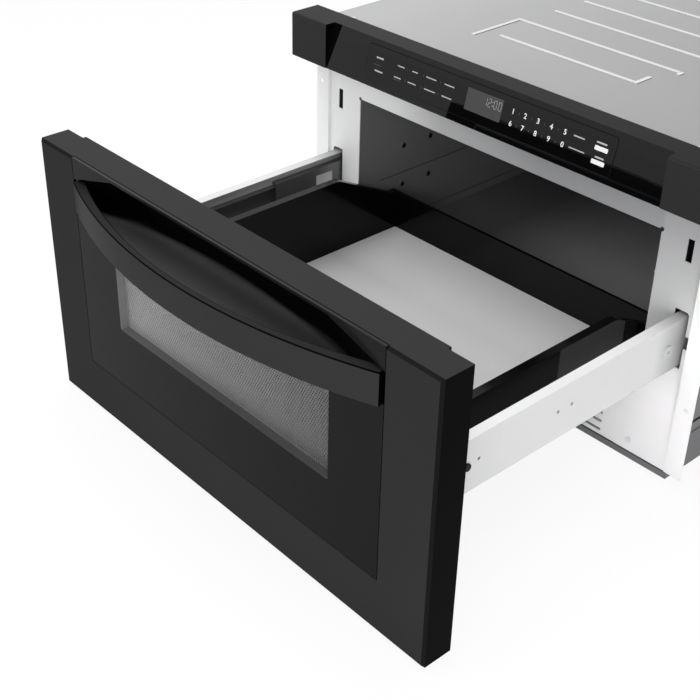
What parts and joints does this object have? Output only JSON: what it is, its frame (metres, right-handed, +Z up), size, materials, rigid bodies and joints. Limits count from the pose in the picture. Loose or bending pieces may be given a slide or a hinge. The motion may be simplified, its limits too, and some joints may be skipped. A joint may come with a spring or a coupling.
{
  "type": "microwave drawer",
  "caption": "Built-in microwave drawer with a bowed grip, a screened window, a touch-control bezel and a powered drawer on ball-bearing slides.",
  "frame": {"origin": "centre of the base's underside, below the middle of the body", "axes": "+X to the right seen from the front, +Y into the kitchen cabinet, +Z up"},
  "size_m": [0.605, 0.991, 0.383],
  "materials": {
    "graphite_enamel": "satin",
    "black_enamel": "gloss",
    "black_plastic": "matte",
    "black_glass": "gloss",
    "clear_glass": "gloss",
    "white_enamel": "satin",
    "grey_enamel": "satin",
    "zinc_steel": "satin",
    "aluminium": "satin",
    "laminated_iron": "matte",
    "white_plastic": "matte",
    "circuit_board": "satin",
    "epoxy": "gloss",
    "brass": "satin"
  },
  "bodies": {
    "cabinet": {"control_bezel": "graphite_enamel", "fan_shroud": "black_plastic", "cord_gland": "black_plastic", "thermal_cutouts": "black_plastic", "door_switches": "black_plastic", "control_glass": "black_glass", "display": "clear_glass", "front_frame": "white_enamel", "cabinet_flanges": "white_enamel", "cavity_liner": "grey_enamel", "base_pan": "zinc_steel", "outer_case": "zinc_steel", "rear_panel": "zinc_steel", "waveguide": "zinc_steel", "slide_brackets": "zinc_steel", "fixed_rails": "zinc_steel", "switch_brackets": "zinc_steel", "drive_bracket": "zinc_steel", "capacitor_clamp": "zinc_steel", "stirrer_motor": "zinc_steel", "magnetron": "zinc_steel", "drive_motor": "zinc_steel", "body_screws": "zinc_steel", "high_voltage_capacitor": "aluminium", "high_voltage_transformer": "laminated_iron", "fan_motor": "laminated_iron", "stirrer_cover": "white_plastic", "air_guide": "white_plastic", "cavity_lamp": "white_plastic", "drive_gearbox": "white_plastic", "control_board": "circuit_board", "power_board": "circuit_board", "noise_filter": "circuit_board", "high_voltage_diode": "epoxy"},
    "drawer": {"drawer_frame": "graphite_enamel", "door_panel": "black_enamel", "grip": "graphite_enamel", "grip_cup": "black_plastic", "window_glass": "clear_glass", "window_screen": "zinc_steel", "choke_frame": "zinc_steel", "choke_cover": "black_plastic", "drawer_tub": "black_enamel", "glass_tray": "clear_glass", "drawer_arms": "white_enamel", "moving_rails": "zinc_steel", "drive_rack": "white_plastic", "latch_hooks": "zinc_steel", "drawer_hardware": "zinc_steel"},
    "left_middle": {"left_middle_rail": "zinc_steel"},
    "right_middle": {"right_middle_rail": "zinc_steel"},
    "left_outer_race": {"left_outer_balls": "zinc_steel"},
    "right_outer_race": {"right_outer_balls": "zinc_steel"},
    "left_inner_race": {"left_inner_balls": "zinc_steel"},
    "right_inner_race": {"right_inner_balls": "zinc_steel"},
    "pinion": {"drive_pinion": "brass"},
    "fan": {"fan_wheel": "black_plastic"},
    "mode_stirrer": {"stirrer": "aluminium"},
    "left_lever": {"left_switch_lever": "zinc_steel"},
    "right_lever": {"right_switch_lever": "zinc_steel"}
  },
  "joints": [
    {"name": "drawer_slide", "type": "slide", "parent": "cabinet", "child": "drawer", "axis": [0, -1, 0], "range_m": [-0.356, 0]},
    {"name": "left_middle_slide", "type": "slide", "parent": "cabinet", "child": "left_middle", "axis": [0, -1, 0], "range_m": [-0.178, 0]},
    {"name": "right_middle_slide", "type": "slide", "parent": "cabinet", "child": "right_middle", "axis": [0, -1, 0], "range_m": [-0.178, 0]},
    {"name": "left_outer_race_slide", "type": "slide", "parent": "cabinet", "child": "left_outer_race", "axis": [0, -1, 0], "range_m": [-0.089, 0]},
    {"name": "right_outer_race_slide", "type": "slide", "parent": "cabinet", "child": "right_outer_race", "axis": [0, -1, 0], "range_m": [-0.089, 0]},
    {"name": "left_inner_race_slide", "type": "slide", "parent": "cabinet", "child": "left_inner_race", "axis": [0, -1, 0], "range_m": [-0.267, 0]},
    {"name": "right_inner_race_slide", "type": "slide", "parent": "cabinet", "child": "right_inner_race", "axis": [0, -1, 0], "range_m": [-0.267, 0]},
    {"name": "pinion_spin", "type": "hinge", "parent": "cabinet", "child": "pinion", "pos_m": [0.2623, -0.24, 0.1333], "axis": [1, 0, 0], "range_deg": [-1700, 0]},
    {"name": "fan_spin", "type": "hinge", "parent": "cabinet", "child": "fan", "pos_m": [-0.132, 0.216, 0.24], "axis": [0, 1, 0], "continuous": true},
    {"name": "stirrer_spin", "type": "hinge", "parent": "cabinet", "child": "mode_stirrer", "pos_m": [0, -0.058, 0.3], "axis": [0, 0, 1], "continuous": true},
    {"name": "left_lever_hinge", "type": "hinge", "parent": "cabinet", "child": "left_lever", "pos_m": [-0.256, -0.2405, 0.257], "axis": [1, 0, 0], "range_deg": [-2.5, 0], "stiffness_Nm_per_rad": 0.05},
    {"name": "right_lever_hinge", "type": "hinge", "parent": "cabinet", "child": "right_lever", "pos_m": [0.256, -0.2405, 0.257], "axis": [1, 0, 0], "range_deg": [-2.5, 0], "stiffness_Nm_per_rad": 0.05}
  ],
  "couplings": [
    {"joint": "left_middle_slide", "follows": "drawer_slide", "ratio": 0.5},
    {"joint": "left_outer_race_slide", "follows": "drawer_slide", "ratio": 0.25},
    {"joint": "left_inner_race_slide", "follows": "drawer_slide", "ratio": 0.75},
    {"joint": "right_middle_slide", "follows": "drawer_slide", "ratio": 0.5},
    {"joint": "right_outer_race_slide", "follows": "drawer_slide", "ratio": 0.25},
    {"joint": "right_inner_race_slide", "follows": "drawer_slide", "ratio": 0.75},
    {"joint": "pinion_spin", "follows": "drawer_slide", "rad_per_m": 83.333}
  ]
}
